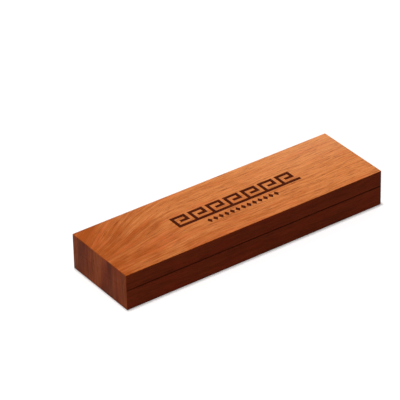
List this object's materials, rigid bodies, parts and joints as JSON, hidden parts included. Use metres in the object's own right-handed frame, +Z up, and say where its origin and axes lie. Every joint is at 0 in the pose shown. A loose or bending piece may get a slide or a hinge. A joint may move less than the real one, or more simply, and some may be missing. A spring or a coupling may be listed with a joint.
{
  "type": "presentation case",
  "caption": "Slim rectangular wooden presentation case, shown closed, with a lid on rear stop hinges and a fabric-lined tray with a trough and a finger notch.",
  "frame": {"origin": "centre of the case's underside, on the surface that it stands on", "axes": "+X along the length, to the right seen from the front; +Y to the back, where the hinges are; +Z up"},
  "size_m": [0.175, 0.0547, 0.0225],
  "materials": {
    "panel_wood": "satin",
    "side_wood": "satin",
    "end_wood": "satin",
    "hinge_brass": "satin",
    "pin_brass": "satin",
    "screw_brass": "polished",
    "magnet_nickel": "polished",
    "foam": "matte",
    "velvet": "matte",
    "card": "matte",
    "wadding": "matte",
    "satin": "satin"
  },
  "bodies": {
    "case_base": {"base_bottom_board": "panel_wood", "base_front_rail": "side_wood", "base_back_rail": "side_wood", "base_left_end": "end_wood", "base_right_end": "end_wood", "left_hinge_base_leaf": "hinge_brass", "left_hinge_pin": "pin_brass", "right_hinge_base_leaf": "hinge_brass", "right_hinge_pin": "pin_brass", "left_hinge_base_screws": "screw_brass", "right_hinge_base_screws": "screw_brass", "base_magnet_left": "magnet_nickel", "base_magnet_right": "magnet_nickel", "insert_core": "foam", "insert_cover": "velvet"},
    "lid": {"lid_top_board": "panel_wood", "lid_front_rail": "side_wood", "lid_back_rail": "side_wood", "lid_left_end": "end_wood", "lid_right_end": "end_wood", "left_hinge_lid_leaf": "hinge_brass", "right_hinge_lid_leaf": "hinge_brass", "left_hinge_lid_screws": "screw_brass", "right_hinge_lid_screws": "screw_brass", "lid_magnet_left": "magnet_nickel", "lid_magnet_right": "magnet_nickel", "lid_pad_card": "card", "lid_pad_foam": "wadding", "lid_pad_satin": "satin"}
  },
  "joints": [
    {"name": "lid_hinge", "type": "hinge", "parent": "case_base", "child": "lid", "pos_m": [0, 0.02735, 0.0126], "axis": [-1, 0, 0], "range_deg": [0, 100]}
  ]
}
